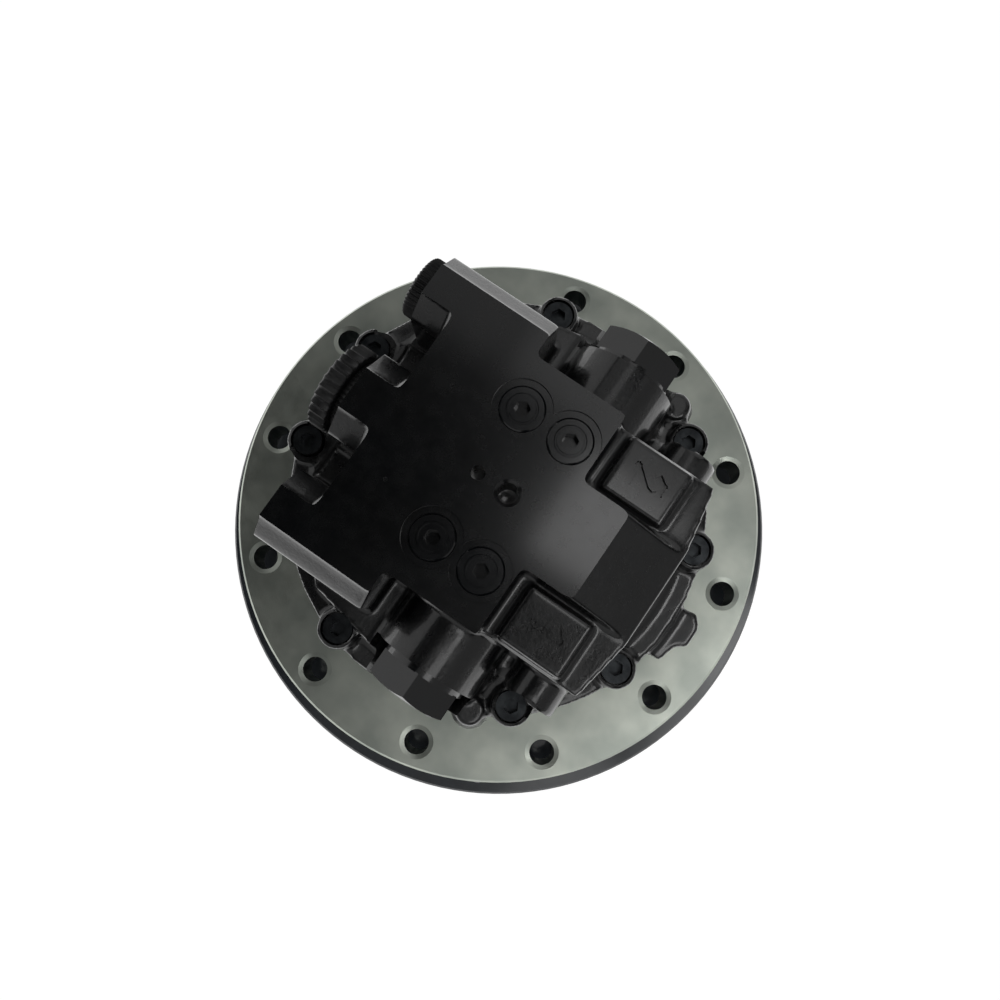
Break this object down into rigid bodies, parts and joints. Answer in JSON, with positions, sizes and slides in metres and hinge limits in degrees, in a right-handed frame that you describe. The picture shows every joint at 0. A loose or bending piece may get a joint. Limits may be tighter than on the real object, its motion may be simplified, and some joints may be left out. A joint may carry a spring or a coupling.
{
  "type": "excavator final drive",
  "caption": "Track drive with a bolt-on ring flange, a black cast valve block with ports on its back, and a sprocket hub turned by two planetary stages and a piston motor.",
  "frame": {"origin": "centre of the machined face that bolts to the track frame", "axes": "+Z along the drive axis towards the valve block, -X towards the hydraulic ports, +Y across the block to make a right-handed frame"},
  "size_m": [0.282, 0.282, 0.287],
  "materials": {
    "black_paint": "satin black paint over cast iron",
    "slate_paint": "dark slate paint over cast steel",
    "machined_face": "turned and faced steel",
    "black_screw": "black oxide socket screws",
    "zinc": "zinc plated steel",
    "cap_plastic": "moulded polyethylene port caps",
    "gear_steel": "ground case hardened gear steel",
    "bearing_steel": "polished bearing steel",
    "bronze": "bronze",
    "seal_rubber": "nitrile rubber",
    "spring_steel": "oil tempered spring steel",
    "friction": "sintered friction lining"
  },
  "bodies": {
    "spindle_body": {"spindle": "machined_face", "rear_cover": "black_paint", "rear_cover_screws": "black_screw", "valve_caps": "zinc", "block_plugs": "zinc", "port_caps": "cap_plastic", "spool_springs": "spring_steel", "two_speed_spring": "spring_steel", "bearing_inner_races": "bearing_steel", "face_seal_fixed": "bearing_steel", "fixed_cord_rings": "seal_rubber", "carrier_two": "gear_steel", "carrier_two_bolts": "black_screw", "planet_two_pins": "bearing_steel", "planet_two_sleeves": "bronze", "planet_two_clips": "spring_steel", "swash_cradle": "gear_steel", "valve_plate": "bronze", "brake_plates": "bearing_steel", "brake_spring": "spring_steel", "shaft_bearings": "bearing_steel", "shaft_oil_seal": "seal_rubber"},
    "hub_body": {"hub": "slate_paint", "end_cover": "slate_paint", "end_cover_screws": "black_screw", "end_cover_seal": "seal_rubber", "oil_level_plugs": "zinc", "thrust_button": "bearing_steel", "bearing_outer_races": "bearing_steel", "face_seal_rotating": "bearing_steel", "toric_rotating": "seal_rubber", "ring_gear": "gear_steel"},
    "ball_sets": {"bearing_balls": "bearing_steel"},
    "carrier_one_body": {"carrier_one": "gear_steel", "sun_gear_two": "gear_steel", "planet_one_pins": "bearing_steel", "planet_one_sleeves": "bronze", "planet_one_clips": "spring_steel"},
    "rotor": {"motor_shaft": "gear_steel", "cylinder_block": "gear_steel", "sun_gear_one": "gear_steel", "guide_ball": "bearing_steel", "block_spring": "spring_steel", "pistons": "bearing_steel", "friction_discs": "friction"},
    "shoe_set": {"piston_shoes": "bronze", "retainer_plate": "bearing_steel"},
    "swash": {"swash_plate": "gear_steel"},
    "tilt_pusher": {"tilt_piston": "bearing_steel"},
    "brake_pusher": {"brake_piston": "bearing_steel"},
    "roller_set": {"front_bearing_rollers": "bearing_steel"},
    "counterbalance": {"counterbalance_spool": "bearing_steel"},
    "speed_selector": {"two_speed_spool": "bearing_steel"},
    "first_planet_1": {"planet_one_1": "gear_steel"},
    "first_planet_2": {"planet_one_2": "gear_steel"},
    "first_planet_3": {"planet_one_3": "gear_steel"},
    "second_planet_1": {"planet_two_1": "gear_steel"},
    "second_planet_2": {"planet_two_2": "gear_steel"},
    "second_planet_3": {"planet_two_3": "gear_steel"},
    "second_planet_4": {"planet_two_4": "gear_steel"}
  },
  "joints": [
    {"name": "hub_spin", "type": "hinge", "parent": "spindle_body", "child": "hub_body", "pos_m": [0, 0, 0], "axis": [0, 0, 1], "continuous": true},
    {"name": "ball_set_spin", "type": "hinge", "parent": "spindle_body", "child": "ball_sets", "pos_m": [0, 0, -0.06], "axis": [0, 0, 1], "continuous": true},
    {"name": "first_carrier_spin", "type": "hinge", "parent": "spindle_body", "child": "carrier_one_body", "pos_m": [0, 0, -0.14], "axis": [0, 0, 1], "continuous": true},
    {"name": "rotor_spin", "type": "hinge", "parent": "spindle_body", "child": "rotor", "pos_m": [0, 0, 0], "axis": [0, 0, 1], "continuous": true, "deforming": ["pistons"]},
    {"name": "roller_set_spin", "type": "hinge", "parent": "spindle_body", "child": "roller_set", "pos_m": [0, 0, -0.0575], "axis": [0, 0, 1], "continuous": true},
    {"name": "second_planet_1_spin", "type": "hinge", "parent": "spindle_body", "child": "second_planet_1", "pos_m": [0.057, 0, -0.12], "axis": [0, 0, 1], "continuous": true},
    {"name": "second_planet_2_spin", "type": "hinge", "parent": "spindle_body", "child": "second_planet_2", "pos_m": [0, 0.057, -0.12], "axis": [0, 0, 1], "continuous": true},
    {"name": "second_planet_3_spin", "type": "hinge", "parent": "spindle_body", "child": "second_planet_3", "pos_m": [-0.057, 0, -0.12], "axis": [0, 0, 1], "continuous": true},
    {"name": "second_planet_4_spin", "type": "hinge", "parent": "spindle_body", "child": "second_planet_4", "pos_m": [0, -0.057, -0.12], "axis": [0, 0, 1], "continuous": true},
    {"name": "first_planet_1_spin", "type": "hinge", "parent": "carrier_one_body", "child": "first_planet_1", "pos_m": [0.054, 0, -0.156], "axis": [0, 0, 1], "continuous": true},
    {"name": "first_planet_2_spin", "type": "hinge", "parent": "carrier_one_body", "child": "first_planet_2", "pos_m": [-0.027, 0.04677, -0.156], "axis": [0, 0, 1], "continuous": true},
    {"name": "first_planet_3_spin", "type": "hinge", "parent": "carrier_one_body", "child": "first_planet_3", "pos_m": [-0.027, -0.04677, -0.156], "axis": [0, 0, 1], "continuous": true},
    {"name": "swash_tilt", "type": "hinge", "parent": "spindle_body", "child": "swash", "pos_m": [0, 0, -0.023], "axis": [0, 1, 0], "range_deg": [0, 6]},
    {"name": "shoe_set_spin", "type": "hinge", "parent": "swash", "child": "shoe_set", "pos_m": [0, 0, -0.023], "axis": [-0.2079, 0, 0.9781], "continuous": true},
    {"name": "tilt_push", "type": "slide", "parent": "spindle_body", "child": "tilt_pusher", "axis": [0, 0, 1], "range_m": [0, 0.0037]},
    {"name": "brake_release", "type": "slide", "parent": "spindle_body", "child": "brake_pusher", "axis": [0, 0, 1], "range_m": [0, 0.0015], "deforming": ["brake_spring"]},
    {"name": "spool_shift", "type": "slide", "parent": "spindle_body", "child": "counterbalance", "axis": [0, 1, 0], "range_m": [-0.008, 0.008], "deforming": ["spool_springs"]},
    {"name": "speed_shift", "type": "slide", "parent": "spindle_body", "child": "speed_selector", "axis": [0, 1, 0], "range_m": [-0.005, 0], "deforming": ["two_speed_spring"]}
  ],
  "couplings": [
    {"joint": "ball_set_spin", "follows": "hub_spin", "ratio": 0.53809},
    {"joint": "first_carrier_spin", "follows": "hub_spin", "ratio": -4.4286},
    {"joint": "rotor_spin", "follows": "hub_spin", "ratio": -38.086},
    {"joint": "roller_set_spin", "follows": "hub_spin", "ratio": -16.237},
    {"joint": "second_planet_1_spin", "follows": "hub_spin", "ratio": 2.5833},
    {"joint": "second_planet_2_spin", "follows": "hub_spin", "ratio": 2.5833},
    {"joint": "second_planet_3_spin", "follows": "hub_spin", "ratio": 2.5833},
    {"joint": "second_planet_4_spin", "follows": "hub_spin", "ratio": 2.5833},
    {"joint": "first_planet_1_spin", "follows": "hub_spin", "ratio": 12.945},
    {"joint": "first_planet_2_spin", "follows": "hub_spin", "ratio": 12.945},
    {"joint": "first_planet_3_spin", "follows": "hub_spin", "ratio": 12.945},
    {"joint": "shoe_set_spin", "follows": "hub_spin", "ratio": -38.086},
    {"joint": "tilt_push", "follows": "swash_tilt", "m_per_rad": 0.0349}
  ]
}
